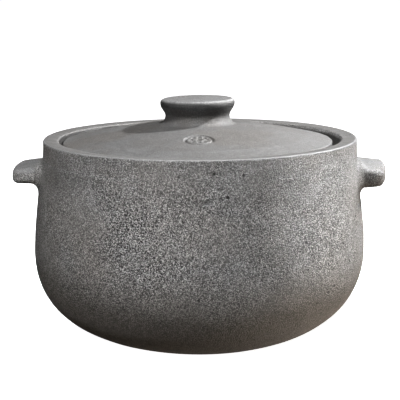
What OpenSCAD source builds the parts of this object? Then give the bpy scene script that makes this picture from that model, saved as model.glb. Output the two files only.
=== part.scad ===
// Clay pot with two ear handles and a recessed lid.
// Millimetres, +Z up. The origin is the middle of the foot, on the table; the handles lie along X.

/* [Vessel] */
// Radius of the flat foot
foot_r = 62; // [50:1:70]
// Width of the ring that the foot stands on
foot_ring_w = 12; // [8:1:20]
// Depth of the hollow inside the foot ring
foot_dish = 1.2; // [0.5:0.1:2.5]
// Angle at which the wall leaves the table
foot_rise = 14; // [8:1:25]
// How far the wall keeps that angle before it turns up
foot_lead = 23; // [10:1:30]
// Radius of the belly at its widest
belly_r = 117; // [112:1:130]
// Height of the widest point of the belly
belly_z = 61; // [50:1:75]
// How far below that point the wall already turns in
belly_drop = 40; // [25:1:45]
// How far above that point the wall starts to close
belly_lift = 15.5; // [8:0.5:25]
// Thickness of the wall
wall = 8.5; // [5:0.5:11]
// Thickness of the floor above the hollow of the foot
floor_t = 8; // [5:0.5:12]

/* [Rim] */
// Height of the rim
rim_z = 140; // [135:1:160]
// Outer radius of the collar and the rim
rim_r = 110; // [106:1:116]
// Height of the upright collar under the rim
collar_h = 12; // [8:1:16]
// Angle at which the shoulder runs into the collar
shoulder_turn = 15; // [8:1:30]
// Length of the shoulder that keeps that angle
shoulder_lead = 7.5; // [4:0.5:12]
// Width of the flat band on top of the rim
rim_w = 11; // [8:0.5:13]
// How much lower the inner edge of the band lies
rim_fall = 0.6; // [0:0.1:1.5]
// Rounding of the rim's edges
rim_round = 1.4; // [0.8:0.1:2.5]

/* [Lid seat] */
// Depth of the seat below the rim
seat_depth = 7.5; // [6:0.5:10]
// How much narrower the recess is at the seat than at the band
seat_taper = 1.5; // [0.5:0.1:3]
// Width of the ledge that the lid rests on
seat_w = 7.5; // [6:0.5:10]
// Thickness of the ledge at its inner edge
seat_t = 6; // [4:0.5:8]
// Height over which the ledge's underside runs back into the wall
seat_web = 16; // [10:1:22]

/* [Lid] */
// Clearance between the lid's edge and the recess, all round
lid_gap = 2.5; // [1.5:0.1:4]
// How far the lid sits off centre, towards -X
lid_shift = 1.5; // [0:0.1:1.5]
// Height of the lid's edge
lid_edge_h = 5.8; // [5:0.1:7]
// Height that the lid's top gains between its edge and the knob
lid_rise = 11.7; // [8:0.1:16]
// Thickness of the lid in its middle
lid_t = 9; // [7:0.5:10]
// Rounding of the lid's edges
lid_round = 1.2; // [0.8:0.1:2]
// Width of the flat ring under the lid's edge
lid_ring_w = 12; // [10:0.5:16]

/* [Knob] */
// Radius of the knob where it grows out of the lid
knob_base_r = 28; // [26:0.5:34]
// Radius of the knob's neck
knob_neck_r = 22.7; // [18:0.1:24]
// Radius of the knob's head
knob_head_r = 26.2; // [25.5:0.1:32]
// Height of the neck above the lid's top
knob_neck_h = 6; // [4:0.1:9]
// Height of the head's widest point above the neck
knob_flare_h = 8; // [6:0.1:12]
// Height of the head above its widest point
knob_crown_h = 4; // [3:0.1:6]
// Rounding of the head's top edge
knob_round = 2.6; // [1.5:0.1:3]

/* [Handles] */
// Reach of a handle's tip from the middle of the pot
lug_reach = 133; // [126:1:140]
// Width of a handle, along Y
lug_w = 50; // [36:1:60]
// Thickness of a handle
lug_t = 10.6; // [8:0.1:14]
// Height of a handle's top below the rim
lug_drop = 19; // [16:0.5:24]
// Rounding of the handle's corners, seen from above
lug_corner = 7; // [5:0.5:15]
// Rounding of the handle's tip, seen from the front
lug_tip = 4; // [2:0.1:4]
// Rounding of the handle's upper long edges
lug_top_round = 3.4; // [2:0.1:4]
// Rounding of the handle's lower long edges
lug_low_round = 4.6; // [2:0.1:5.2]
// Length along X over which the root's fillets fade out
root_run = 9; // [6:0.5:12]
// Height of the fillet above the handle's root
root_top = 4; // [2:0.5:7]
// Height of the fillet under the handle's root
root_low = 9; // [4:0.5:13]
// Width of the fillet on either side of the handle's root
root_side = 9; // [4:0.5:14]

/* [Fineness] */
// Segments of a full turn
turn_n = 96; // [48:8:160]
// Segments of the long curves
curve_n = 18; // [10:1:30]
// Segments of an edge's rounding
edge_n = 4; // [3:1:8]
// Sections along each rounded end of a handle
lug_n = 8; // [5:1:14]

/* [Hidden] */

CLAY = "#77736f";
CLAY_SMOOTH = "#8c8a87";

// How far a cutting solid runs past what it cuts
over = 1;

collar_z = rim_z - collar_h;
band_r = rim_r - rim_w;
seat_z = rim_z - seat_depth;
seat_r = band_r - seat_taper;
neck_r = seat_r - seat_w;
nose_z = seat_z - seat_t;
web_z = nose_z - seat_web;
floor_z = foot_dish + floor_t;

lid_r = seat_r - lid_gap;
lid_edge_z = seat_z + lid_edge_h;
lid_top_z = lid_edge_z + lid_rise;
neck_z = lid_top_z + knob_neck_h;
head_z = neck_z + knob_flare_h;
knob_z = head_z + knob_crown_h;

lug_top_z = rim_z - lug_drop;
lug_low_z = lug_top_z - lug_t;
// How deep the handle's root lies in the wall
root_depth = 2;
// Share of a fillet's full arc at which it enters the wall
foot_share = 0.94;
// Smallest rounding left at the handle's tip
lug_edge_least = 0.4;

// Width of the bevel between the foot ring and its hollow
dish_bevel = 2 * foot_dish;
// Width of the slope between the floor and the wall, inside
floor_slope = wall;
// Pulls of the curve under the ledge, as shares of its height
web_lean = 1 / 8;
web_pull_low = 1 / 2;
web_pull_top = 1 / 3;
// Pulls of the lid's top, as shares of its run, of its rise at the edge and of its rise at the knob
top_pull = 1 / 3;
top_lift_edge = 0.42;
top_lift_knob = 0.2;
// Pulls of the lid's hollow, as shares of its radius and of its depth
hollow_flat = 0.45;
hollow_reach = 0.8;
hollow_lift = 0.45;
// Pulls of the knob's foot, neck, flare and head, as shares of what each one gains
knob_spread = 0.35;
knob_sink = 0.1;
neck_pull = 0.45;
flare_pull = 0.3;
head_pull = 0.35;
// Share of the crown's height that is its flat dome
crown_dome = 0.15;
// Angles at which the roundings of the lid's edge and of the knob's head run on into the top
lid_round_end = 78;
knob_round_end = 85;

// Segments of the short curves, and across a handle's flat top
short_n = 2 * edge_n;
flat_n = 2 * edge_n;

// Outer line of the vessel, and its radius at each height
belly = belly_line();
wall_table = [for (p = belly) [p[1], p[0]]];

function unit(v) = v / norm(v);

// A line without its first point, and one without its two ends
function tail(line) = [for (i = [1:len(line) - 1]) line[i]];
function middle(line) = [for (i = [1:len(line) - 2]) line[i]];

// Points of a cubic curve from a to d, drawn towards b and c
function cubic(a, b, c, d, n = curve_n) = [
    for (i = [0:n])
        let (t = i / n, s = 1 - t)
            s * s * s * a + 3 * s * s * t * b + 3 * s * t * t * c + t * t * t * d
];

// Points of an arc about c, from angle a0 to angle a1
function arc(c, r, a0, a1, n = edge_n) = [
    for (i = [0:n])
        let (a = a0 + (a1 - a0) * i / n)
            c + r * [cos(a), sin(a)]
];

// The same line moved to its left by d, without its two ends
function inset(line, d) = [
    for (i = [1:len(line) - 2])
        let (way = unit(line[i + 1] - line[i - 1]))
            line[i] + d * [-way[1], way[0]]
];

// Outer line of the vessel from the foot to the collar, as radius and height
function belly_line() = concat(
    cubic(
        [foot_r, 0],
        [foot_r + foot_lead * cos(foot_rise), foot_lead * sin(foot_rise)],
        [belly_r, belly_z - belly_drop],
        [belly_r, belly_z]
    ),
    tail(cubic(
        [belly_r, belly_z],
        [belly_r, belly_z + belly_lift],
        [rim_r + shoulder_lead * sin(shoulder_turn), collar_z - shoulder_lead * cos(shoulder_turn)],
        [rim_r, collar_z]
    ))
);

// The vessel as if it were solid, up to the flat band of the rim
module vessel_form() {
    rotate_extrude($fn = turn_n)
        polygon(concat(
            [[0, foot_dish]],
            [[foot_r - foot_ring_w - dish_bevel, foot_dish]],
            [[foot_r - foot_ring_w, 0]],
            belly,
            arc([rim_r - rim_round, rim_z - rim_round], rim_round, 0, 90),
            arc([band_r + rim_round, rim_z - rim_fall - rim_round], rim_round, 90, 180),
            [[0, rim_z - rim_fall - rim_round]]
        ));
}

// The room inside: the cooking space, the ledge's opening and the recess that takes the lid
module vessel_room() {
    wall_line = [for (p = inset(belly, wall)) if (p[1] > floor_z && p[1] < web_z) p];
    web_start = wall_line[len(wall_line) - 1];
    rotate_extrude($fn = turn_n)
        polygon(concat(
            [[0, floor_z], [wall_line[0][0] - floor_slope, floor_z]],
            wall_line,
            cubic(
                web_start,
                web_start + seat_web * [-web_lean, web_pull_low],
                [neck_r, nose_z - seat_web * web_pull_top],
                [neck_r, nose_z],
                short_n
            ),
            arc([neck_r + rim_round, seat_z - rim_round], rim_round, 180, 90),
            [[seat_r, seat_z]],
            [[band_r, rim_z - rim_fall - rim_round]],
            [[band_r, rim_z + over]],
            [[0, rim_z + over]]
        ));
}

// Radius of the outer wall at a height
function wall_r(z) = lookup(z, wall_table);

// What a rounding of height h and length run adds at a distance from its foot: all of h at the
// foot, and nothing past its run
function rounding(from_foot, run, h) =
    let (s = min(1, max(0, 1 - from_foot / run))) h * (1 - sqrt(1 - s * s));

// The same for a fillet at the root, which enters the wall at a slant and goes on at that slant
function fillet(from_wall, h) =
    let (s = 1 - from_wall / root_run, s_in = max(0, min(s, foot_share)), level = sqrt(1 - s_in * s_in))
        h * (rounding(1 - s_in, 1, 1) + (s - s_in) * s_in / level);

// Quarter of an ellipse about c, w wide and h high, from angle a0 on by 90 degrees
function quarter(c, w, h, a0) = [
    for (i = [0:edge_n])
        let (a = a0 - 90 * i / edge_n)
            [c[0] + w * cos(a), c[1] + h * sin(a)]
];

// Upper or lower half of a handle's cross-section, as points along Y and Z
function half_ring(half_w, corner_w, corner_h, z, side) =
    let (flat = half_w - corner_w, c_z = z - side * corner_h)
        concat(
            quarter([-flat, c_z], corner_w, side * corner_h, 180),
            [for (i = [1:flat_n - 1]) [flat * (2 * i / flat_n - 1), z]],
            quarter([flat, c_z], corner_w, side * corner_h, 90)
        );

// Cross-section of the handle at a distance from the wall, as a closed ring of points. It grows by
// the fillets at the root and shrinks by the roundings at the tip, corners included. Near the wall
// the ring is bent to the wall's own curve and lean, and towards the tip it comes upright.
function lug_ring(from_wall) =
    let (
        to_tip = lug_reach - rim_r - from_wall,
        pull = rounding(to_tip, lug_tip, lug_tip),
        grow_side = fillet(from_wall, root_side),
        grow_top = fillet(from_wall, root_top) - pull,
        grow_low = fillet(from_wall, root_low) - pull,
        half_w = lug_w / 2 + grow_side - rounding(to_tip, lug_corner, lug_corner),
        corner_w = max(lug_low_round + grow_side - pull, lug_edge_least),
        upper = half_ring(half_w, corner_w, max(lug_top_round + grow_top, lug_edge_least),
            lug_top_z + grow_top, 1),
        lower = half_ring(half_w, corner_w, max(lug_low_round + grow_low, lug_edge_least),
            lug_low_z - grow_low, -1),
        lean = min(1, max(0, 1 - from_wall / root_run))
    )
    [for (p = concat(upper, [for (i = [len(lower) - 1:-1:0]) lower[i]]))
        let (r = rim_r + lean * (wall_r(p[1]) - rim_r))
            [from_wall + sqrt(r * r - p[0] * p[0]), p[0], p[1]]];

// Solid between rings of equal count, closed at both ends by strips from the upper to the lower half
module loft(rings) {
    n = len(rings[0]);
    last = len(rings) - 1;
    sides = [for (k = [0:last - 1]) for (i = [0:n - 1])
        let (a = k * n + i, b = k * n + (i + 1) % n)
            each [[a, b, b + n], [a, b + n, a + n]]];
    first_cap = [for (i = [0:n / 2 - 2])
        let (a = i, b = i + 1, c = n - 2 - i, d = n - 1 - i)
            each [[a, c, b], [a, d, c]]];
    last_cap = [for (i = [0:n / 2 - 2])
        let (s = last * n, a = s + i, b = s + i + 1, c = s + n - 2 - i, d = s + n - 1 - i)
            each [[a, b, c], [a, c, d]]];
    polyhedron(points = [for (r = rings) each r], faces = concat(sides, first_cap, last_cap), convexity = 4);
}

// One solid ear handle on the +X side, with the fillets that run out into the wall
module lug() {
    root = [for (i = [1:lug_n]) root_run * (1 - cos(90 * i / lug_n))];
    tip = [for (i = [0:lug_n]) lug_reach - rim_r - lug_corner * (1 - sin(90 * i / lug_n))];
    loft([for (x = concat([-root_depth], [for (x = root) if (x < tip[0]) x], tip)) lug_ring(x)]);
}

// Vessel and handles, fired as one piece
module pot() {
    color(CLAY)
        difference() {
            union() {
                vessel_form();
                lug();
                mirror([1, 0, 0]) lug();
            }
            vessel_room();
        }
}

// Line of the knob from the lid's top to its crown
function knob_line() = concat(
    cubic(
        [knob_base_r, lid_top_z],
        [knob_neck_r + (knob_base_r - knob_neck_r) * knob_spread, lid_top_z + knob_neck_h * knob_sink],
        [knob_neck_r, neck_z - knob_neck_h * neck_pull],
        [knob_neck_r, neck_z],
        short_n
    ),
    tail(cubic(
        [knob_neck_r, neck_z],
        [knob_neck_r, neck_z + knob_flare_h * flare_pull],
        [knob_head_r, head_z - knob_flare_h * head_pull],
        [knob_head_r, head_z],
        short_n
    )),
    arc(
        [knob_head_r - knob_round, knob_z - knob_crown_h * crown_dome - knob_round],
        knob_round, 0, knob_round_end
    )
);

// Lid and knob, turned and fired as one piece
module lid() {
    ring_r = lid_r - lid_ring_w;
    top_run = lid_r - knob_base_r;
    hollow_z = lid_top_z - lid_t;
    color(CLAY_SMOOTH)
        translate([-lid_shift, 0, 0])
            rotate_extrude($fn = turn_n)
                polygon(concat(
                    cubic(
                        [0, hollow_z],
                        [ring_r * hollow_flat, hollow_z],
                        [ring_r * hollow_reach, seat_z + (hollow_z - seat_z) * hollow_lift],
                        [ring_r, seat_z]
                    ),
                    arc([lid_r - lid_round, seat_z + lid_round], lid_round, -90, 0),
                    arc([lid_r - lid_round, lid_edge_z - lid_round], lid_round, 0, lid_round_end),
                    middle(cubic(
                        [lid_r - lid_round, lid_edge_z],
                        [lid_r - lid_round - top_run * top_pull, lid_edge_z + lid_rise * top_lift_edge],
                        [knob_base_r + top_run * top_pull, lid_top_z - lid_rise * top_lift_knob],
                        [knob_base_r, lid_top_z]
                    )),
                    knob_line(),
                    [[0, knob_z]]
                ));
}

pot();
lid();
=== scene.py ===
"""Looks of a clay pot with two ear handles and a recessed lid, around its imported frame.

Shapes are worked out in millimetres and become metres when a mesh is made. The axes are the part's:
+Z up, +X through one handle, -Y towards the viewer.
"""
import math
from types import SimpleNamespace

import bmesh
import bpy
import numpy as np
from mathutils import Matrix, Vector, noise


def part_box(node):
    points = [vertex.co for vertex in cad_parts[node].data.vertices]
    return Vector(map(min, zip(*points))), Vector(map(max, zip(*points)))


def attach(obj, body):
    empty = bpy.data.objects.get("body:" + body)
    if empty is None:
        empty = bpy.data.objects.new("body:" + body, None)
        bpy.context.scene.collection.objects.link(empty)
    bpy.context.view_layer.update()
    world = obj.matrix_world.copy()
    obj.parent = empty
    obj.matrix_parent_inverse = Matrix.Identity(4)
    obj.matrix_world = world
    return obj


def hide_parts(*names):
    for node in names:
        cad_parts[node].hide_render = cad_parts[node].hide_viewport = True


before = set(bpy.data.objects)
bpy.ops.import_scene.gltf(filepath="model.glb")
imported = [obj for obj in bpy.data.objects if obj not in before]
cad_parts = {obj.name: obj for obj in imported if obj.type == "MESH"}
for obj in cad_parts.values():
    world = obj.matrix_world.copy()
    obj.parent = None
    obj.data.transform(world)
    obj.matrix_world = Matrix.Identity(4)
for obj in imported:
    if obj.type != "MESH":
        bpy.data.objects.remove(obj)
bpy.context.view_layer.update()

MM = 0.001
FULL_TURN = 2 * math.pi

# Driving sizes, taken from the frame
pot_low, pot_high = (np.array(corner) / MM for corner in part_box("pot"))
lid_low, lid_high = (np.array(corner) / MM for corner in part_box("lid"))
RIM_Z = pot_high[2]
BELLY_R = pot_high[1]
LUG_REACH = pot_high[0]
SEAT_Z = lid_low[2]
KNOB_Z = lid_high[2]
LID_X = (lid_low[0] + lid_high[0]) / 2
LID_R = (lid_high[0] - lid_low[0]) / 2

# Vessel, as in the part's source
FOOT_R = 62.0
FOOT_RING_W = 12.0
FOOT_DISH = 1.2
FOOT_RISE = math.radians(14)
FOOT_LEAD = 23.0
BELLY_Z = 61.0
BELLY_DROP = 40.0
BELLY_LIFT = 15.5
WALL = 8.5
FLOOR_T = 8.0
RIM_R = 110.0
COLLAR_H = 12.0
SHOULDER_TURN = math.radians(15)
SHOULDER_LEAD = 7.5
SHOULDER_SOFT = 9.0
RIM_W = 11.0
RIM_FALL = 0.6
RIM_ROUND = 1.4
SEAT_TAPER = 1.5
SEAT_W = 7.5
SEAT_T = 6.0
SEAT_WEB = 16.0

# Lid and knob
LID_EDGE_H = 5.8
LID_RISE = 11.7
LID_T = 9.0
LID_ROUND = 1.2
LID_RING_W = 12.0
KNOB_BASE_R = 28.0
KNOB_NECK_R = 22.7
KNOB_HEAD_R = 26.2
KNOB_NECK_H = 6.0
KNOB_FLARE_H = 8.0
KNOB_ROUND = 2.6
KNOB_DOME = 0.6

# Ear handles
LUG_W = 50.0
LUG_T = 10.6
LUG_DROP = 19.0
LUG_TOP_ROUND = 3.4
LUG_LOW_ROUND = 4.6
LUG_LEAST_ROUND = 0.4
EARS = {
    1: {
        "reach": LUG_REACH - 0.4, "tip": 2.6, "front_corner": (5.0, 4.0), "back_corner": (3.5, 3.0),
        "dip": 2.2, "skew": 0.12, "rise": 1.6, "sink": 2.4, "undercut": 5.0,
    },
    -1: {
        "reach": LUG_REACH - 1.7, "tip": 4.0, "front_corner": (5.0, 4.0), "back_corner": (17.5, 14.0),
        "dip": 0.0, "skew": 0.0, "rise": 0.9, "sink": 0.3, "undercut": -3.0,
    },
}
ROOT_RUN = 9.0
ROOT_TOP = 4.0
ROOT_LOW = 9.0
ROOT_SIDE = 9.0
ROOT_STEPS = (0.34, 0.67, 1.0)
GAP_LOW = 3.0
GAP_HIGH = 2.0

# Where an ear's own unevenness sets in: from the rim's radius, and from the wall
EAR_AWAY = (2.0, 12.0)
ROOT_THICK = 5.0
ROOT_THIN = 22.0
UNDERCUT_DROP = 0.2

# How far the vessel's two sides stand off along X at each height
SAG_Z = (0.0, 6.0, 15.0, 30.0, 45.0, 61.0, 75.0, 90.0, 100.0, 130.0)
SAG_LEFT = (0.0, -1.1, -1.4, -1.1, -0.85, -0.6, -0.5, -0.4, -0.3, 0.0)
SAG_RIGHT = (0.0, 0.1, -0.5, -0.5, -0.1, 0.3, 0.6, 0.3, 0.1, 0.0)

# How much higher the rim is than in the part's source: everywhere, and per millimetre along X
RIM_LIFT = 0.55
RIM_TILT = 0.75 / RIM_R

# Dents of the clay: their size, the seed of their noise and their depth
VESSEL_DENTS = ((34, 1, 0.24), (11, 2, 0.10))
RIM_DENTS = ((26, 3, 0.12),)
LID_DENTS = ((30, 5, 0.16), (9, 6, 0.05))

# How far the vessel is from round, and the angles at which it is: oval and three-sided, the second
# turning with height
OVAL = 0.16
OVAL_AT = 0.7
THREE_SIDED = 0.12
THREE_SIDED_AT = 1.9
TURN_H = 40.0

# How far the collar stands out at +X, and how the lid and its knob lie
COLLAR_LEAN = 0.8
LID_LIFT = -0.1
LID_TILT = 0.85
KNOB_LIFT = 0.25
KNOB_TILT = 0.2

# Where each unevenness sets in: heights, heights from the rim, the seat or the knob's top, and places
# along X
FOOT_FREE_Z = (0.5, 6.0)
RECESS_TRUE_H = 40
SAG_X = (-80, 80)
COLLAR_LEAN_Z = (95, 135)
COLLAR_LEAN_X = (0, 100)
RIM_FREE = (-16, -2)
LID_FREE = (2, 5)
KNOB_FREE = (-16, -4)

# Fineness of the meshes
SPOKES = 360
LUG_HALF_SPOKES = 22
FINE = 2.0
COARSE = 5.0
SAME_PLACE = 1e-6
NEARLY = 0.01


def cubic(a, b, c, d, n=48):
    """Points of a cubic curve from a to d, drawn towards b and c."""
    t = np.linspace(0, 1, n + 1)[:, None]
    s = 1 - t
    a, b, c, d = (np.array(p, float) for p in (a, b, c, d))
    return s**3 * a + 3 * s * s * t * b + 3 * s * t * t * c + t**3 * d


def arc(centre, rx, ry, start, stop, n=8):
    """Points of an elliptic arc between two angles in degrees."""
    a = np.radians(np.linspace(start, stop, n + 1))
    return np.array(centre) + np.stack([rx * np.cos(a), ry * np.sin(a)], 1)


def inset(line, d):
    """The line moved to its left by d, without its two ends."""
    way = line[2:] - line[:-2]
    way /= np.linalg.norm(way, axis=1)[:, None]
    return line[1:-1] + d * np.stack([-way[:, 1], way[:, 0]], 1)


def resample(line, step=None, count=None):
    """The line with evenly spaced points, ends kept."""
    run = np.concatenate([[0], np.cumsum(np.linalg.norm(np.diff(line, axis=0), axis=1))])
    count = count or max(1, round(run[-1] / step))
    at = np.linspace(0, run[-1], count + 1)
    return np.stack([np.interp(at, run, line[:, k]) for k in range(line.shape[1])], 1)


def join(*lines):
    """Lines one after the other, without repeating the points that they share."""
    out = [lines[0][0]]
    for line in lines:
        out += [p for p in line if np.linalg.norm(p - out[-1]) > SAME_PLACE]
    return np.array(out)


def straight(*points):
    return np.array(points, float)


BELLY_LINE = join(
    cubic(
        (FOOT_R, 0),
        (FOOT_R + FOOT_LEAD * math.cos(FOOT_RISE), FOOT_LEAD * math.sin(FOOT_RISE)),
        (BELLY_R, BELLY_Z - BELLY_DROP),
        (BELLY_R, BELLY_Z),
    ),
    cubic(
        (BELLY_R, BELLY_Z),
        (BELLY_R, BELLY_Z + BELLY_LIFT),
        (
            RIM_R + SHOULDER_LEAD * math.sin(SHOULDER_TURN),
            RIM_Z - COLLAR_H - SHOULDER_LEAD * math.cos(SHOULDER_TURN),
        ),
        (RIM_R, RIM_Z - COLLAR_H),
    ),
)


def softened(line, soft):
    """The line with its last corner, from its end straight up, rounded over a length on both sides."""
    corner = line[-1]
    low = line[np.linalg.norm(line - corner, axis=1) > soft]
    t = np.linspace(0, 1, 13)[:, None]
    return join(low, (1 - t) ** 2 * low[-1] + 2 * t * (1 - t) * corner + t * t * (corner + (0, soft)))


BELLY_LINE = softened(BELLY_LINE, SHOULDER_SOFT)


def wall_r(z):
    """Outer radius of the vessel at a height."""
    return np.interp(z, BELLY_LINE[:, 1], BELLY_LINE[:, 0])


def vessel_line():
    """Line that turns into the vessel: underside, outside, rim, lid recess, inside and floor."""
    band_r = RIM_R - RIM_W
    seat_r = band_r - SEAT_TAPER
    neck_r = seat_r - SEAT_W
    nose_z = SEAT_Z - SEAT_T
    floor_z = FOOT_DISH + FLOOR_T
    inner = inset(BELLY_LINE, WALL)
    inner = inner[(inner[:, 1] > floor_z) & (inner[:, 1] < nose_z - SEAT_WEB)]
    web = cubic(
        inner[-1],
        inner[-1] + (-SEAT_WEB / 8, SEAT_WEB / 2),
        (neck_r, nose_z - SEAT_WEB / 3),
        (neck_r, nose_z),
    )
    edge_z = RIM_Z - RIM_FALL - RIM_ROUND
    parts = [
        resample(straight((0, FOOT_DISH), (FOOT_R - FOOT_RING_W - 2 * FOOT_DISH, FOOT_DISH)), COARSE),
        straight((FOOT_R - FOOT_RING_W - FOOT_DISH, FOOT_DISH / 2), (FOOT_R - FOOT_RING_W, 0)),
        resample(straight((FOOT_R - FOOT_RING_W, 0), (FOOT_R, 0)), FINE),
        resample(BELLY_LINE, FINE),
        resample(straight((RIM_R, BELLY_LINE[-1][1]), (RIM_R, RIM_Z - RIM_ROUND)), FINE),
        arc((RIM_R - RIM_ROUND, RIM_Z - RIM_ROUND), RIM_ROUND, RIM_ROUND, 0, 90, 5),
        resample(straight((RIM_R - RIM_ROUND, RIM_Z), (band_r + RIM_ROUND, RIM_Z - RIM_FALL)), FINE),
        arc((band_r + RIM_ROUND, edge_z), RIM_ROUND, RIM_ROUND, 90, 180, 5),
        resample(straight((band_r, edge_z), (seat_r, SEAT_Z)), FINE),
        resample(straight((seat_r, SEAT_Z), (neck_r + RIM_ROUND, SEAT_Z)), FINE),
        arc((neck_r + RIM_ROUND, SEAT_Z - RIM_ROUND), RIM_ROUND, RIM_ROUND, 90, 180, 4),
        resample(join(straight((neck_r, SEAT_Z - RIM_ROUND), (neck_r, nose_z)), web[::-1], inner[::-1]), COARSE),
        resample(straight((inner[0][0] - WALL, floor_z), (0, floor_z)), COARSE),
    ]
    return join(*parts)


def rounding(run, length, height):
    """What an elliptic rounding takes away at a distance from its end."""
    s = min(1.0, max(0.0, 1 - run / length))
    return height * (1 - math.sqrt(1 - s * s))


def lug_outline(from_wall, ear, wide, high):
    """Cross-section of a handle at a distance from the wall: wide and high are its segments.

    It grows by the fillets at the root and shrinks by the roundings at the tip, which has its own
    corner at the front and at the back.
    """
    to_tip = ear["reach"] - RIM_R - from_wall
    pull = rounding(to_tip, ear["tip"], ear["tip"])
    side = rounding(from_wall, ROOT_RUN, ROOT_SIDE)
    up = rounding(from_wall, ROOT_RUN, ROOT_TOP) - pull
    down = rounding(from_wall, ROOT_RUN, ROOT_LOW) - pull
    front = LUG_W / 2 + side - rounding(to_tip, *ear["front_corner"])
    back = LUG_W / 2 + side - rounding(to_tip, *ear["back_corner"])
    top = RIM_Z - LUG_DROP + up
    low = RIM_Z - LUG_DROP - LUG_T - down
    corner = max(LUG_LOW_ROUND + side - pull, LUG_LEAST_ROUND)
    c_top = max(LUG_TOP_ROUND + up, LUG_LEAST_ROUND)
    c_low = max(LUG_LOW_ROUND + down, LUG_LEAST_ROUND)
    upper_left = arc((corner - front, top - c_top), corner, c_top, 180, 90)
    upper_right = arc((back - corner, top - c_top), corner, c_top, 90, 0)
    lower_right = arc((back - corner, low + c_low), corner, c_low, 0, -90)
    lower_left = arc((corner - front, low + c_low), corner, c_low, -90, -180)
    mid = len(upper_left) // 2
    sides = (
        (join(upper_left[mid:], upper_right[: mid + 1]), wide),
        (join(upper_right[mid:], lower_right[: mid + 1]), high),
        (join(lower_right[mid:], lower_left[: mid + 1]), wide),
        (join(lower_left[mid:], upper_left[: mid + 1]), high),
    )
    return np.concatenate([resample(line, count=n)[:-1] for line, n in sides])


def lug_point(from_wall, y, z):
    """A point of a handle: bent to the wall's curve and lean near the wall, upright at the tip."""
    lean = min(1.0, max(0.0, 1 - from_wall / ROOT_RUN))
    r = RIM_R + lean * (wall_r(z) - RIM_R)
    return np.stack([from_wall + np.sqrt(r * r - y * y), y, z], 1)


def lug_rings(border, ear):
    """Rings of a handle from the border of its gap in the wall to its tip, and the points of its cap."""
    wide = 2 * LUG_HALF_SPOKES
    high = len(border) // 2 - wide
    foot = lug_outline(0, ear, wide, high)
    rings = [lug_point(0, *(border * (1 - t) + foot * t).T) for t in ROOT_STEPS]
    ends = np.radians(np.linspace(0, 90, 11)[1:])
    fillet = ROOT_RUN * (1 - np.cos(ends))
    length = ear["reach"] - RIM_R
    tip = [length - run * (1 - np.sin(ends)) for run in (ear["tip"], ear["front_corner"][0], ear["back_corner"][0])]
    runs = sorted(set(np.round(np.concatenate([fillet, *tip]), 2)))
    for run in (run for run in runs if run > 0):
        rings.append(lug_point(run, *lug_outline(run, ear, wide, high).T))
    last = rings[-1]
    top, right = last[: wide + 1], last[wide : wide + high + 1]
    low = last[wide + high : 2 * wide + high + 1][::-1]
    left = np.concatenate([last[2 * wide + high :], last[:1]])[::-1]
    s = np.linspace(0, 1, high + 1)[1:-1, None, None]
    t = np.linspace(0, 1, wide + 1)[None, 1:-1, None]
    cap = (
        (1 - s) * top[None, 1:-1] + s * low[None, 1:-1] + (1 - t) * left[1:-1, None] + t * right[1:-1, None]
        - (1 - s) * (1 - t) * top[0] - (1 - s) * t * top[-1] - s * (1 - t) * low[0] - s * t * low[-1]
    )
    return rings, cap


def turned(line, angles, centre_x=0.0):
    """Points and quads of a line turned about Z; a point on the axis is one pole."""
    points, rows = [], []
    for r, z in line:
        if r < SAME_PLACE:
            rows.append([len(points)] * len(angles))
            points.append((centre_x, 0.0, z))
        else:
            rows.append(list(range(len(points), len(points) + len(angles))))
            points += [(centre_x + r * math.cos(a), r * math.sin(a), z) for a in angles]
    return points, rows


def quads_between(rows, left_out=lambda k, i, j: False):
    """Faces between neighbouring closed rows of equal count, without those left out."""
    n = len(rows[0])
    faces = []
    for k, (low, high) in enumerate(zip(rows, rows[1:])):
        for i in range(n):
            j = (i + 1) % n
            if left_out(k, i, j):
                continue
            face = [low[i], low[j], high[j], high[i]]
            faces.append([v for m, v in enumerate(face) if v != face[m - 1]])
    return faces


def mesh_piece(name, points, faces, materials):
    """A smooth-shaded closed mesh with outward faces, from points in millimetres."""
    mesh = bpy.data.meshes.new(name)
    mesh.from_pydata([tuple(p) for p in np.array(points, float) * MM], [], faces)
    bm = bmesh.new()
    bm.from_mesh(mesh)
    bmesh.ops.recalc_face_normals(bm, faces=bm.faces)
    bm.to_mesh(mesh)
    bm.free()
    mesh.shade_smooth()
    piece = bpy.data.objects.new(name, mesh)
    bpy.context.collection.objects.link(piece)
    for material in materials:
        mesh.materials.append(material)
    return piece


def smoothstep(x, low, high):
    t = np.clip((x - low) / (high - low), 0, 1)
    return t * t * (3 - 2 * t)


def around(base, limits):
    """Limits that are given from a base."""
    return tuple(base + limit for limit in limits)


def lumps(points, size, seed):
    """Soft noise in about -1 to 1 at each point, with hills of a size in millimetres."""
    shift = Vector((seed * 17.3, seed * 5.1, seed * 9.7))
    return np.array([noise.noise(Vector(p) / size + shift) for p in points])


def dents(points, kinds):
    """Soft dents of several kinds, added up."""
    return sum(depth * lumps(points, size, seed) for size, seed, depth in kinds)


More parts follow.
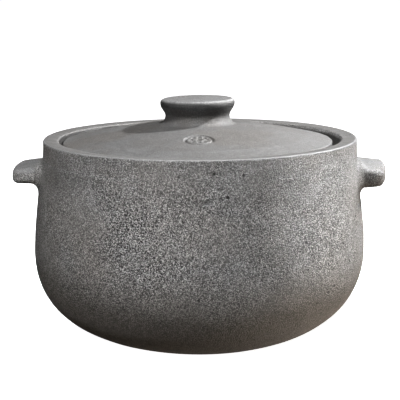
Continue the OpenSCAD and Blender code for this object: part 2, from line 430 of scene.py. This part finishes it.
def pot_points(points):
    """Hand-made unevenness of the vessel: it sags to one side and its rim rises to the other.

    The foot stays flat and the seat stays true.
    """
    p = np.array(points, float)
    r = np.hypot(p[:, 0], p[:, 1])
    a = np.arctan2(p[:, 1], p[:, 0])
    x, z = p[:, 0].copy(), p[:, 2].copy()
    recess = (r < RIM_R - RIM_W) & (z > RIM_Z - RECESS_TRUE_H)
    free = smoothstep(z, *FOOT_FREE_Z) * (1 - recess)
    round_off = OVAL * np.sin(2 * a + OVAL_AT) + THREE_SIDED * np.sin(3 * a + THREE_SIDED_AT + z / TURN_H)
    push = free * (round_off + dents(p, VESSEL_DENTS))
    p[:, 0] += np.cos(a) * push
    p[:, 1] += np.sin(a) * push
    right = smoothstep(x, *SAG_X)
    p[:, 0] += free * ((1 - right) * np.interp(z, SAG_Z, SAG_LEFT) + right * np.interp(z, SAG_Z, SAG_RIGHT))
    leaning = smoothstep(z, *COLLAR_LEAN_Z)
    p[:, 0] += free * COLLAR_LEAN * leaning * smoothstep(x, *COLLAR_LEAN_X) * (x < RIM_R + 1)
    rim = smoothstep(z, *around(RIM_Z, RIM_FREE)) * free
    p[:, 2] += rim * (RIM_LIFT + RIM_TILT * x + dents(p, RIM_DENTS))
    return p


def lid_points(points):
    """Hand-made unevenness of the lid's top and knob: it lies higher towards +X. Its seat stays true."""
    p = np.array(points, float)
    x = p[:, 0] - LID_X
    free = smoothstep(p[:, 2], *around(SEAT_Z, LID_FREE))
    knob = smoothstep(p[:, 2], *around(KNOB_Z, KNOB_FREE))
    p[:, 2] += free * (dents(p, LID_DENTS) + LID_LIFT + LID_TILT * x / LID_R)
    p[:, 2] += knob * (KNOB_TILT * x / KNOB_HEAD_R + KNOB_LIFT)
    return p


def lug_place(turn, ear, point):
    """A handle's point on its own side of the pot, with the handle's own unevenness.

    dip lowers its front edge, skew makes its back longer, rise and sink thicken it near the wall and
    undercut moves the foot of its front face back.
    """
    x, y, z = point
    away = smoothstep(x, *around(RIM_R, EAR_AWAY))
    from_wall = x - math.sqrt(RIM_R**2 - y**2)
    near = smoothstep(from_wall, 0, ROOT_THICK) * (1 - smoothstep(from_wall, ROOT_THICK, ROOT_THIN))
    over = smoothstep(z, RIM_Z - LUG_DROP - LUG_T, RIM_Z - LUG_DROP)
    under = np.clip((RIM_Z - LUG_DROP - z) / LUG_T, 0, 1)
    z += near * (ear["rise"] * over - ear["sink"] * (1 - over))
    z -= ear["dip"] * away * smoothstep(-y, -LUG_W / 2, LUG_W / 2)
    back = ear["undercut"] * under * away * smoothstep(-y, 0, LUG_W / 2)
    return turn * (x + ear["skew"] * y * away), y + back, z - UNDERCUT_DROP * back


def off_ear(spoke):
    """How many spokes a spoke lies off the middle of the nearer ear."""
    return min(spoke % (SPOKES // 2), -spoke % (SPOKES // 2))


def ear_border(rows, low_row, high_row, turn):
    """Points around an ear's gap in the wall, first those above it."""

    def spoke(i):
        return (i if turn > 0 else SPOKES // 2 - i) % SPOKES

    across = list(range(-LUG_HALF_SPOKES, LUG_HALF_SPOKES + 1))
    return (
        [rows[high_row][spoke(i)] for i in across[:-1]]
        + [rows[k][spoke(across[-1])] for k in range(high_row, low_row, -1)]
        + [rows[low_row][spoke(i)] for i in across[:0:-1]]
        + [rows[k][spoke(across[0])] for k in range(low_row, high_row)]
    )


def add_ear(points, border, turn):
    """Adds the points of an ear, from the border of its gap to its tip. Returns its faces."""
    ear = EARS[turn]
    rings, cap = lug_rings(np.array([points[v][1:] for v in border]), ear)
    loops = [border]
    for ring in rings:
        loops.append(list(range(len(points), len(points) + len(ring))))
        points += [lug_place(turn, ear, p) for p in ring]
    faces = quads_between(loops)
    wide, last = 2 * LUG_HALF_SPOKES, loops[-1]
    high = len(last) // 2 - wide
    grid = [[None] * (wide + 1) for _ in range(high + 1)]
    for i in range(wide + 1):
        grid[0][i] = last[i]
        grid[high][i] = last[(2 * wide + high - i) % len(last)]
    for k in range(1, high):
        grid[k][0] = last[-k]
        grid[k][wide] = last[wide + k]
        for i in range(1, wide):
            grid[k][i] = len(points)
            points.append(lug_place(turn, ear, cap[k - 1, i - 1]))
    for k in range(high):
        for i in range(wide):
            faces.append([grid[k][i], grid[k][i + 1], grid[k + 1][i + 1], grid[k + 1][i]])
    return faces


def make_pot(materials):
    line = vessel_line()
    points, rows = turned(line, [FULL_TURN * i / SPOKES for i in range(SPOKES)])
    outside = np.argmax(line[:, 0] > BELLY_R - NEARLY)
    lug_mid = RIM_Z - LUG_DROP - LUG_T / 2
    z = line[:, 1]
    on_wall = [k for k in range(outside, len(line)) if line[k, 0] > RIM_R - NEARLY]
    low_row = max(k for k in on_wall if z[k] < lug_mid - LUG_T / 2 - ROOT_LOW - GAP_LOW)
    high_row = min(k for k in on_wall if z[k] > lug_mid + LUG_T / 2 + ROOT_TOP + GAP_HIGH)

    def under_ear(k, i, j):
        return low_row <= k < high_row and max(off_ear(i), off_ear(j)) <= LUG_HALF_SPOKES

    faces = quads_between(rows, under_ear)
    for turn in (1, -1):
        faces += add_ear(points, ear_border(rows, low_row, high_row, turn), turn)
    return mesh_piece("clay_vessel", pot_points(points), faces, materials)


def lid_line():
    """Line that turns into the lid and its knob: underside, edge, top, neck, head and crown.

    The bare shares in it place the inner points of its curves.
    """
    ring_r = LID_R - LID_RING_W
    edge_z = SEAT_Z + LID_EDGE_H
    top_z = edge_z + LID_RISE
    hollow_z = top_z - LID_T
    neck_z = top_z + KNOB_NECK_H
    head_z = neck_z + KNOB_FLARE_H
    parts = [
        resample(cubic((0, hollow_z), (ring_r * 0.45, hollow_z),
                       (ring_r * 0.8, SEAT_Z + (hollow_z - SEAT_Z) * 0.45), (ring_r, SEAT_Z)), COARSE),
        resample(straight((ring_r, SEAT_Z), (LID_R - LID_ROUND, SEAT_Z)), COARSE),
        arc((LID_R - LID_ROUND, SEAT_Z + LID_ROUND), LID_ROUND, LID_ROUND, -90, 0, 4),
        resample(straight((LID_R, SEAT_Z + LID_ROUND), (LID_R, edge_z - LID_ROUND)), FINE / 2),
        arc((LID_R - LID_ROUND, edge_z - LID_ROUND), LID_ROUND, LID_ROUND, 0, 78, 5),
        resample(cubic((LID_R - LID_ROUND, edge_z),
                       (LID_R - LID_ROUND - (LID_R - KNOB_BASE_R) / 3, edge_z + LID_RISE * 0.42),
                       (KNOB_BASE_R + (LID_R - KNOB_BASE_R) / 3, top_z - LID_RISE * 0.2),
                       (KNOB_BASE_R, top_z)), MARK_STEP)[1:],
        resample(cubic((KNOB_BASE_R, top_z),
                       (KNOB_NECK_R + (KNOB_BASE_R - KNOB_NECK_R) * 0.35, top_z + KNOB_NECK_H * 0.1),
                       (KNOB_NECK_R, neck_z - KNOB_NECK_H * 0.45), (KNOB_NECK_R, neck_z)), FINE / 2),
        resample(cubic((KNOB_NECK_R, neck_z), (KNOB_NECK_R, neck_z + KNOB_FLARE_H * 0.3),
                       (KNOB_HEAD_R, head_z - KNOB_FLARE_H * 0.35), (KNOB_HEAD_R, head_z)), FINE / 2),
        arc((KNOB_HEAD_R - KNOB_ROUND, KNOB_Z - KNOB_DOME - KNOB_ROUND), KNOB_ROUND, KNOB_ROUND, 0, 85, 6),
        resample(straight((KNOB_HEAD_R - KNOB_ROUND, KNOB_Z - KNOB_DOME), (0, KNOB_Z)), FINE)[1:],
    ]
    return join(*parts)


# Pressed mark on the front of the lid: a plain rosette in a ring
MARK_R = 56.5
MARK_X = 1.0
MARK_RING_R = 9.2
MARK_RING_W = 1.3
MARK_DOTS = 8
MARK_DOT_PLACE = 5.2
MARK_DOT_R = 1.2
MARK_EYE_R = 1.9
MARK_SOFT = 0.45
MARK_DEPTH = 1.0
MARK_STEP = 0.7
MARK_SECTOR = math.radians(13)
MARK_SPOKES = 64


def mark_press(points):
    """How deep the mark is pressed at each point of the lid, from 0 to 1."""
    x = points[:, 0] - LID_X - MARK_X
    y = points[:, 1] + MARK_R
    r = np.hypot(x, y)
    soft = MARK_SOFT
    ring = 1 - smoothstep(np.abs(r - MARK_RING_R), MARK_RING_W / 2 - soft / 2, MARK_RING_W / 2 + soft)
    press = np.maximum(ring, 1 - smoothstep(r, MARK_EYE_R - soft, MARK_EYE_R + soft))
    for k in range(MARK_DOTS):
        a = FULL_TURN * k / MARK_DOTS
        d = np.hypot(x - MARK_DOT_PLACE * math.cos(a), y - MARK_DOT_PLACE * math.sin(a))
        press = np.maximum(press, 1 - smoothstep(d, MARK_DOT_R - soft, MARK_DOT_R + soft))
    on_top = (points[:, 2] > SEAT_Z + LID_EDGE_H) & (r < 2 * MARK_RING_R)
    return press * on_top


def make_lid(materials):
    front = -math.pi / 2
    close = np.linspace(front - MARK_SECTOR, front + MARK_SECTOR, MARK_SPOKES + 1)
    rest = np.linspace(front + MARK_SECTOR, front - MARK_SECTOR + FULL_TURN, SPOKES - 2 * MARK_SPOKES + 1)
    angles = list(close) + list(rest[1:-1])
    points, rows = turned(lid_line(), angles, LID_X)
    points = lid_points(points)
    points[:, 2] -= MARK_DEPTH * mark_press(points)
    return mesh_piece("clay_lid", points, quads_between(rows), materials)


# Sand, lumps and pits of the clay, per metre
GRAIN_PER_M = 1250
GRIT_PER_M = 1900
LUMPS_PER_M = 150
PITS_PER_M = 100

# Relief of the clay: its full depth in metres, and the share of each part in it
RELIEF_M = 0.0017
GRAIN_SHARE = 0.6
GRIT_SHARE = -0.5
LUMPS_SHARE = 0.5
PIT_SHARE = 0.3

# Pits: where a cell's random number lets one be, how it ends at its border, and how strong it is
PIT_CHANCE = (0.40, 0.42)
PIT_BORDER = (0.085, 0.11)
LID_PITS = 0.3
VESSEL_PITS_X = (-0.04, 0.02)
VESSEL_PITS_LEFT = 0.25

# Dark and light grains: mean-free scale of a cell's squared random number
SPECKLE_SCALE = 2.7
SPECKLE_MEAN = 0.9

# Soft patches in the clay: patches per metre, detail and roughness of the noise, the part of it that
# counts, and the two values that they lie between (for the shine, from its middle)
PATCHES = {
    "dull and light": (26, 3.0, 0.6, (0.3, 0.7), (0.0, 1.0)),
    "brownish": (17, 2.0, 0.5, (0.52, 0.75), (0.0, 0.3)),
    "shine": (90, 3.0, 0.6, (0.3, 0.7), (-0.07, 0.07)),
    "uneven sand": (24, 2.0, 0.5, (0.35, 0.65), (0.75, 1.05)),
    "broken collar highlight": (20, 2.0, 0.5, (0.4, 0.6), (0.0, 0.7)),
    "wheel streaks": (140, 2.0, 0.6, (0.35, 0.65), (0.0, 1.0)),
    "broken streaks": (30, 2.0, 0.5, (0.4, 0.6), (0.0, 0.6)),
    "brown on the lid": (22, 2.0, 0.5, (0.5, 0.62), (0.0, 0.8)),
    "broken knob highlight": (160, 2.0, 0.5, (0.35, 0.6), (0.3, 0.9)),
}

# Tones of the clay, several of them painted light and shade as their names say: share of its level, and warmth
TONES = {
    "dull": (0.93, 0.03),
    "light": (1.05, 0.0),
    "brownish": (0.98, 0.08),
    "pit": (0.03, 0.05),
    "lid streak": (1.25, 0.0),
    "lid brown": (0.9, 0.06),
    # Painted shade on the side of the knob's head
    "knob painted shade": (0.45, 0.0),
    # Painted light on the knob's crown
    "knob crown painted light": (1.25, 0.0),
    # Painted highlight along the knob's top edge
    "knob edge highlight": (2.3, 0.0),
    "collar highlight": (1.25, 0.0),
    "ear top painted shade": (0.74, 0.0),
    "painted low shade": (0.84, 0.05),
    # Painted glint: a lighter tone where light glints on the grain
    "painted glint": (1.35, 0.0),
    # Painted shade for the dark patches under the rim and under the right ear
    "painted shade": (0.2, 0.05),
    "rim band": (1.0, 0.02),
    "rim edge highlight left": (1.9, 0.0),
    "rim edge highlight right": (1.4, 0.0),
    # Painted shade in the lid recess
    "recess": (0.3, 0.04),
}

# Heights and radii at which zones of the vessel's clay meet, in metres
RIM_TOP = (RIM_Z + RIM_LIFT - RIM_ROUND / 2) * MM
RIM_INNER = (RIM_R - RIM_W + 1) * MM
RIM_OUTER = RIM_R * MM
EAR_TOP = (RIM_Z - LUG_DROP) * MM
RIM_LEVEL = 0.09
RIM_WAVES_PER_M = 180
RIM_WAVE = 0.001

# Where those zones begin and end, in metres from that height or radius
RIM_BEGINS = (-0.0006, 0.0004)
# Painted highlight along the rim's outer edge: its radius and height, and the run along X from its left strength to
# its right
EDGE_R = (-0.0013, -0.0006)
EDGE_Z = (-0.0008, -0.0002)
EDGE_X = (-0.02, 0.05)
# The recess, painted dark as shade
RECESS_SOFT = (0.0, -0.001)
RECESS_DEPTH = (-0.02, -0.015)
# Ear tops: wiped smoother, and painted darker as shade
EAR_BEGINS = (0.001, 0.006)
EAR_SIDE = (-0.003, -0.001)
COLLAR_SANDY = (-0.022, -0.006)
# Painted highlight: a pale line where the collar meets the belly
RING_LOW = (-0.0145, -0.0135)
RING_HIGH = (-0.0115, -0.0125)
FOOT_SANDY = (0.015, 0.05)
# Painted shade: the belly darker and warmer towards the bottom, between these heights
LOW_SHADE_Z = (0.072, 0.042)

# How sandy the vessel is near its foot and at its collar, what wiping takes off, and how much an ear
# was wiped
SAND_AT_FOOT = 0.55
SAND_AT_COLLAR = 0.85
SAND_WIPED = 0.75
EAR_WIPED = 0.7

# Zones of the lid's clay: from the knob's edge, in metres, and below the knob's top, in millimetres
KNOB_EDGE_R = (KNOB_HEAD_R - KNOB_ROUND * 0.45) * MM
# Painted highlight along the knob's top edge
KNOB_HIGHLIGHT_INNER = (-0.0014, -0.0006)
KNOB_HIGHLIGHT_OUTER = (0.0010, 0.0004)
KNOB_HIGHLIGHT_BELOW = (5, 4)
# Painted shade in a band on the side of the knob's head, and painted light on its crown
KNOB_SHADE_LOW = (7, 5)
KNOB_SHADE_HIGH = (1.8, 2.8)
LIT_CROWN_BELOW = (1.6, 1.0)
KNOB_SHADE_STRENGTH = 0.85
LIT_CROWN_STRENGTH = 0.8

# Soft dark patches of painted shade, where shadow falls under the rim at the front right and the front left and
# under the right ear: middle in metres, and strength
SHADE_PATCHES = (
    ((0.048, -0.099, 0.121), 0.42),
    ((-0.092, -0.060, 0.121), 0.34),
    ((0.122, -0.024, 0.101), 0.65),
)
SHADE_STRETCH = (1.0, 0.7, 2.0)
SHADE_REACH = (0.006, 0.034)

# Places with a painted glint on the front left and the front right of the belly, where light glints on the grain,
# with a lighter tone and stronger speckle: middle in metres, and how much stronger the speckle is there
GLINT_PATCHES = (((-0.032, -0.112, 0.090), 0.6), ((0.088, -0.078, 0.092), 0.35))
GLINT_REACH = (0.008, 0.052)
GLINT_TONE = 0.5


class Nodes:
    """Short way to build a material's node tree."""

    def __init__(self, name):
        self.material = bpy.data.materials.new(name)
        self.material.use_nodes = True
        self.tree = self.material.node_tree
        self.shader = self.tree.nodes["Principled BSDF"]
        self.place = self.tree.nodes.new("ShaderNodeTexCoord").outputs["Object"]

    def add(self, kind, inputs=(), **settings):
        node = self.tree.nodes.new(kind)
        for key, value in settings.items():
            setattr(node, key, value)
        for key, value in dict(inputs).items():
            if isinstance(value, bpy.types.NodeSocket):
                self.tree.links.new(value, node.inputs[key])
            else:
                node.inputs[key].default_value = value
        return node

    def noise(self, scale, detail=2.0, roughness=0.5, place=None):
        """Soft noise of so many hills per metre."""
        inputs = {"Vector": place or self.place, "Scale": scale, "Detail": detail, "Roughness": roughness}
        return self.add("ShaderNodeTexNoise", inputs).outputs["Fac"]

    def cells(self, scale):
        """Cells, so many per metre, each with its own colour and distance from its middle."""
        return self.add("ShaderNodeTexVoronoi", {"Vector": self.place, "Scale": scale})

    def ramp(self, value, low, high, start=0.0, stop=1.0):
        """Smooth step from start to stop while a value goes from low to high."""
        inputs = {"Value": value, "From Min": low, "From Max": high, "To Min": start, "To Max": stop}
        return self.add("ShaderNodeMapRange", inputs, interpolation_type="SMOOTHSTEP").outputs["Result"]

    def patches(self, name, base=0.0, place=None):
        """Soft patches of a named kind, with their values counted from a base."""
        scale, detail, roughness, counts, values = PATCHES[name]
        return self.ramp(self.noise(scale, detail, roughness, place), *counts, *around(base, values))

    def math(self, operation, a, b=0.0):
        return self.add("ShaderNodeMath", {0: a, 1: b}, operation=operation).outputs[0]

    def times(self, *values):
        """The values multiplied with each other."""
        out = values[0]
        for value in values[1:]:
            out = self.math("MULTIPLY", out, value)
        return out

    def distance(self, centre, stretch=(1, 1, 1)):
        """Distance from a point, with each axis stretched."""
        off = self.add("ShaderNodeVectorMath", {0: self.place, 1: centre}, operation="SUBTRACT")
        off = self.add("ShaderNodeVectorMath", {0: off.outputs["Vector"], 1: stretch}, operation="MULTIPLY")
        return self.add("ShaderNodeVectorMath", {0: off.outputs["Vector"]}, operation="LENGTH").outputs["Value"]

    def part(self, kind, vector, name):
        """One number of a vector or colour, taken out by a node of a kind."""
        key = "Vector" if kind == "ShaderNodeSeparateXYZ" else "Color"
        return self.add(kind, {key: vector}).outputs[name]

    def mix(self, factor, a, b, blend="MIX"):
        node = self.add("ShaderNodeMix", data_type="RGBA", blend_type=blend)
        for key, value in (("Factor", factor), ("A", a), ("B", b)):
            kind = "NodeSocketFloatFactor" if key == "Factor" else "NodeSocketColor"
            socket = next(s for s in node.inputs if s.name == key and s.bl_idname == kind)
            if isinstance(value, bpy.types.NodeSocket):
                self.tree.links.new(value, socket)
            else:
                socket.default_value = value
        return next(s for s in node.outputs if s.bl_idname == "NodeSocketColor")


def grey(level, warm=0.0):
    """A grey of a linear level, warmer with warm."""
    return (level * (1 + warm), level, level * (1 - warm), 1.0)


def tint(level, name):
    """A named tone of a clay of a level."""
    share, warm = TONES[name]
    return grey(level * share, warm)


def below_knob(limits):
    """Heights in metres from how many millimetres they lie below the knob's top."""
    return tuple((KNOB_Z - limit) * MM for limit in limits)


def vessel_zones(n):
    """Where each zone of the vessel's clay lies, from 0 to 1."""
    x = n.part("ShaderNodeSeparateXYZ", n.place, "X")
    z = n.part("ShaderNodeSeparateXYZ", n.place, "Z")
    r = n.distance((0, 0, 0), (1, 1, 0))
    level_z = n.math("SUBTRACT", z, n.times(x, RIM_TILT))
    wavy = n.math("ADD", level_z, n.times(n.math("SUBTRACT", n.noise(RIM_WAVES_PER_M), 0.5), RIM_WAVE))
    # Painted glints: places on the belly with a lighter tone and stronger speckle
    painted_glint = 0.0
    for centre, strength in GLINT_PATCHES:
        painted_glint = n.math("ADD", painted_glint, n.ramp(n.distance(centre), *GLINT_REACH, strength, 0.0))
    return SimpleNamespace(
        x=x,
        z=z,
        painted_glint=painted_glint,
        on_rim=n.ramp(wavy, *around(RIM_TOP, RIM_BEGINS)),
        # Painted highlight along the rim's outer edge
        edge=n.times(n.ramp(r, *around(RIM_OUTER, EDGE_R)), n.ramp(wavy, *around(RIM_TOP, EDGE_Z))),
        recess=n.times(
            n.ramp(r, *around(RIM_INNER, RECESS_SOFT)),
            n.ramp(z, *around(RIM_TOP, RECESS_DEPTH)),
            n.ramp(wavy, *around(RIM_TOP, RECESS_SOFT)),
        ),
        ear=n.times(
            n.ramp(n.math("ABSOLUTE", x), *around(RIM_OUTER, EAR_BEGINS)),
            n.ramp(wavy, *around(EAR_TOP, EAR_SIDE)),
        ),
        # Painted highlight on the collar line
        ring=n.times(n.ramp(wavy, *around(RIM_TOP, RING_LOW)), n.ramp(wavy, *around(RIM_TOP, RING_HIGH))),
    )


def vessel_sand(n, zones):
    """How sandy the vessel is: less at its collar, near its foot and where it was wiped smooth."""
    low = n.ramp(zones.z, *FOOT_SANDY, SAND_AT_FOOT, 1.0)
    collar = n.ramp(zones.z, *around(RIM_TOP, COLLAR_SANDY), 1.0, SAND_AT_COLLAR)
    wiped = n.math("MAXIMUM", n.math("MAXIMUM", zones.on_rim, zones.recess), n.times(zones.ear, EAR_WIPED))
    left = n.math("SUBTRACT", 1.0, n.times(wiped, SAND_WIPED))
    return n.times(low, collar, n.patches("uneven sand"), left)


def vessel_tone(n, tone, level, zones):
    """Tones of the vessel: rim band with a painted highlight along its edge, a recess painted dark as shade, a
    painted highlight on the collar line, ear tops painted darker as shade, painted shade low on the belly and in
    patches, and painted glints.
    """
    # Painted highlight: a broken pale line where the collar meets the belly
    tone = n.mix(n.times(zones.ring, n.patches("broken collar highlight")), tone, tint(level, "collar highlight"))
    # Painted shade: the ear tops darker
    tone = n.mix(zones.ear, tone, tint(level, "ear top painted shade"))
    # Painted shade: darker and warmer towards the bottom
    tone = n.mix(n.ramp(zones.z, *LOW_SHADE_Z), tone, tint(level, "painted low shade"))
    # Painted glint: a lighter tone where light glints on the grain
    tone = n.mix(n.times(zones.painted_glint, GLINT_TONE), tone, tint(level, "painted glint"))
    # Painted shade: dark patches under the rim and under the right ear
    for centre, strength in SHADE_PATCHES:
        shade_patch = n.ramp(n.distance(centre, SHADE_STRETCH), *SHADE_REACH, strength, 0.0)
        tone = n.mix(shade_patch, tone, tint(level, "painted shade"))
    tone = n.mix(zones.on_rim, tone, tint(RIM_LEVEL, "rim band"))
    # Painted highlight along the rim's outer edge, stronger on the left
    left_to_right = n.ramp(zones.x, *EDGE_X)
    rim_edge_highlight = n.mix(left_to_right, tint(RIM_LEVEL, "rim edge highlight left"), tint(RIM_LEVEL, "rim edge highlight right"))
    tone = n.mix(zones.edge, tone, rim_edge_highlight)
    # Painted shade: the lid recess darkened
    return n.mix(zones.recess, tone, tint(RIM_LEVEL, "recess"))


def lid_tone(n, tone, level):
    """Tones of the lid: streaks of the wheel, brown patches, and a knob with a band of painted shade on the side of
    its head, a crown painted lighter and a painted highlight along its top edge.
    """
    z = n.part("ShaderNodeSeparateXYZ", n.place, "Z")
    turn_r = n.distance((LID_X * MM, 0, 0), (1, 1, 0))
    streaks = n.patches("wheel streaks", place=n.add("ShaderNodeCombineXYZ", {"X": turn_r}).outputs["Vector"])
    tone = n.mix(n.times(streaks, n.patches("broken streaks")), tone, tint(level, "lid streak"))
    tone = n.mix(n.patches("brown on the lid"), tone, tint(level, "lid brown"))
    # Painted shade: a darker band on the side of the knob's head
    knob_shade = n.times(n.ramp(z, *below_knob(KNOB_SHADE_LOW)), n.ramp(z, *below_knob(KNOB_SHADE_HIGH)), KNOB_SHADE_STRENGTH)
    tone = n.mix(knob_shade, tone, tint(level, "knob painted shade"))
    # Painted light: the knob's crown lighter
    crown = n.ramp(z, *below_knob(LIT_CROWN_BELOW), 0.0, LIT_CROWN_STRENGTH)
    tone = n.mix(crown, tone, tint(level, "knob crown painted light"))
    # Painted highlight along the knob's top edge, broken up
    knob_edge_highlight = n.times(
        n.ramp(turn_r, *around(KNOB_EDGE_R, KNOB_HIGHLIGHT_INNER)),
        n.ramp(turn_r, *around(KNOB_EDGE_R, KNOB_HIGHLIGHT_OUTER)),
        n.ramp(z, *below_knob(KNOB_HIGHLIGHT_BELOW)),
        n.patches("broken knob highlight"),
    )
    return n.mix(knob_edge_highlight, tone, tint(level, "knob edge highlight"))


def clay(name, level, grain, speckle, shine, vessel=False):
    """Unglazed clay: sandy grain, pits, light and brown patches, and the vessel's or the lid's zones.

    grain is the strength of the sand's relief and speckle that of its light and dark grains. shine
    is the middle of the roughness.
    """
    n = Nodes(name)
    if vessel:
        zones = vessel_zones(n)
        sandy = vessel_sand(n, zones)
        grain = n.times(sandy, grain)
        # Stronger speckle in the painted glints
        speckle = n.times(sandy, speckle, n.math("ADD", zones.painted_glint, 1.0))
        pits = n.ramp(zones.x, *VESSEL_PITS_X, VESSEL_PITS_LEFT, 1.0)
    else:
        pits = LID_PITS

    grit = n.cells(GRIT_PER_M)
    sand = n.noise(GRAIN_PER_M, 1.0)
    pit_cells = n.cells(PITS_PER_M)
    rare = n.ramp(n.part("ShaderNodeSeparateColor", pit_cells.outputs["Color"], "Red"), *PIT_CHANCE)
    pit = n.times(n.ramp(pit_cells.outputs["Distance"], *PIT_BORDER, 1.0, 0.0), rare, pits)
    height = n.math("ADD", n.times(sand, GRAIN_SHARE), n.times(grit.outputs["Distance"], GRIT_SHARE))
    height = n.math("ADD", height, n.times(n.noise(LUMPS_PER_M), LUMPS_SHARE))
    height = n.math("SUBTRACT", height, n.times(pit, PIT_SHARE))

    tone = n.mix(n.patches("dull and light"), tint(level, "dull"), tint(level, "light"))
    tone = n.mix(n.patches("brownish"), tone, tint(level, "brownish"))
    tone = vessel_tone(n, tone, level, zones) if vessel else lid_tone(n, tone, level)
    kind = n.part("ShaderNodeSeparateColor", grit.outputs["Color"], "Green")
    pale = n.math("SUBTRACT", n.times(n.math("POWER", kind, 2.0), SPECKLE_SCALE), SPECKLE_MEAN)
    shade = n.math("ADD", n.times(pale, speckle), 1.0)
    shade = n.add("ShaderNodeCombineColor", {"Red": shade, "Green": shade, "Blue": shade}).outputs["Color"]
    tone = n.mix(pit, n.mix(1.0, tone, shade, "MULTIPLY"), tint(level, "pit"))

    roughness = n.patches("shine", base=shine)
    bump = n.add("ShaderNodeBump", {"Height": height, "Distance": RELIEF_M, "Strength": grain})
    n.tree.links.new(tone, n.shader.inputs["Base Color"])
    n.tree.links.new(roughness, n.shader.inputs["Roughness"])
    n.tree.links.new(bump.outputs["Normal"], n.shader.inputs["Normal"])
    n.shader.inputs["Specular IOR Level"].default_value = 0.5
    return n.material


# Floor and backdrop, in metres
FLOOR_TONE = 0.9
FLOOR_GLOW = 1.0
FLOOR_R = 8.0
FLOOR_SPOKES = 64
BACKDROP_H = 6.0
BACKDROP_BEND = 2.0


def floor_material():
    """Plain pale floor and backdrop."""
    n = Nodes("pale_floor")
    n.shader.inputs["Base Color"].default_value = grey(FLOOR_TONE)
    n.shader.inputs["Roughness"].default_value = 1.0
    n.shader.inputs["Specular IOR Level"].default_value = 0.0
    n.shader.inputs["Emission Color"].default_value = (1, 1, 1, 1)
    n.shader.inputs["Emission Strength"].default_value = FLOOR_GLOW
    return n.material


def make_stage():
    """A round pale floor that bends up into a backdrop. It casts neither light nor shadow."""
    line = join(
        resample(straight((0, 0), (FLOOR_R - BACKDROP_BEND, 0)), 1.0),
        arc((FLOOR_R - BACKDROP_BEND, BACKDROP_BEND), BACKDROP_BEND, BACKDROP_BEND, -90, 0, 12),
        straight((FLOOR_R, BACKDROP_BEND), (FLOOR_R, BACKDROP_H)),
    )
    points, rows = turned(line / MM, [FULL_TURN * i / FLOOR_SPOKES for i in range(FLOOR_SPOKES)])
    stage = mesh_piece("floor", points, quads_between(rows), [floor_material()])
    stage.visible_diffuse = False
    stage.visible_glossy = False
    stage.visible_shadow = False


# Camera of the photograph: its distance and height angle as seen from the middle of the rim
CAMERA_DISTANCE = 0.8
CAMERA_HEIGHT_ANGLE = math.radians(7.7)
CAMERA_PITCH = math.radians(10.9)
IMAGE_PX = 400
FOCAL_PX = 1126.3
AXIS_PX = 199.6
SENSOR_MM = 36.0
VIEW_GAMMA = 0.87


def make_camera():
    data = bpy.data.cameras.new("camera")
    data.sensor_width = SENSOR_MM
    data.lens = FOCAL_PX * SENSOR_MM / IMAGE_PX
    data.shift_x = (IMAGE_PX / 2 - AXIS_PX) / IMAGE_PX
    camera = bpy.data.objects.new("camera", data)
    camera.location = (
        0,
        -CAMERA_DISTANCE * math.cos(CAMERA_HEIGHT_ANGLE),
        RIM_Z * MM + CAMERA_DISTANCE * math.sin(CAMERA_HEIGHT_ANGLE),
    )
    camera.rotation_euler = (math.pi / 2 - CAMERA_PITCH, 0, 0)
    bpy.context.collection.objects.link(camera)
    bpy.context.scene.camera = camera


LIGHT_AIM = (0, 0, 0.12)
WARM = (1.0, 0.87, 0.74)
ROOM_LIGHT = {"From Min": -0.3, "From Max": 0.6, "To Min": 0.0, "To Max": 0.015}


def make_light(name, side, height, distance, size, power, colour=(1, 1, 1), only=None):
    """An area light aimed at the pot. side is its direction in degrees from +X towards +Y.

    With only, it lights that one piece.
    """
    data = bpy.data.lights.new(name, "AREA")
    data.shape = "DISK"
    data.size = size
    data.energy = power
    data.color = colour
    lamp = bpy.data.objects.new(name, data)
    a, h = math.radians(side), math.radians(height)
    way = Vector((math.cos(a) * math.cos(h), math.sin(a) * math.cos(h), math.sin(h)))
    lamp.location = Vector(LIGHT_AIM) + distance * way
    lamp.rotation_euler = way.to_track_quat("Z", "Y").to_euler()
    bpy.context.collection.objects.link(lamp)
    if only is not None:
        lit = bpy.data.collections.new(name)
        lit.objects.link(only)
        lamp.light_linking.receiver_collection = lit


def make_world():
    """Very dim room light, paler from above."""
    world = bpy.data.worlds.new("room")
    world.use_nodes = True
    tree = world.node_tree
    place = tree.nodes.new("ShaderNodeTexCoord")
    split = tree.nodes.new("ShaderNodeSeparateXYZ")
    ramp = tree.nodes.new("ShaderNodeMapRange")
    tree.links.new(place.outputs["Generated"], split.inputs[0])
    tree.links.new(split.outputs["Z"], ramp.inputs["Value"])
    for name, value in ROOM_LIGHT.items():
        ramp.inputs[name].default_value = value
    tree.links.new(ramp.outputs["Result"], tree.nodes["Background"].inputs["Strength"])
    bpy.context.scene.world = world


make_camera()
make_stage()
make_world()
vessel = make_pot([clay("clay_body", level=0.187, grain=1.0, speckle=0.85, shine=0.5, vessel=True)])
lid = make_lid([clay("clay_lid", level=0.0705, grain=0.4, speckle=0.3, shine=0.62)])

make_light("key", side=16, height=39, distance=0.65, size=0.15, power=10.3, only=vessel)
make_light("key_crisp", side=16, height=40, distance=0.65, size=0.04, power=15.8, only=lid)
make_light("key_soft", side=6, height=42, distance=1.2, size=0.6, power=8.5, only=vessel)
make_light("back_high", side=100, height=55, distance=1.6, size=0.9, power=2.0)
make_light("right_soft", side=28, height=20, distance=1.6, size=0.9, power=2.5)
make_light("front_high", side=-78, height=61, distance=1.4, size=0.2, power=26)
make_light("left_front", side=-122, height=38, distance=1.4, size=0.2, power=16)
make_light("low_left", side=-115, height=-35, distance=1.6, size=0.9, power=4.1, colour=WARM)
make_light("low_right", side=22, height=-36, distance=1.6, size=0.9, power=19, colour=WARM)

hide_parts("pot")
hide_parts("lid")
for piece in (vessel, lid):
    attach(piece, "root")

view = bpy.context.scene.view_settings
view.view_transform = "Standard"
view.gamma = VIEW_GAMMA
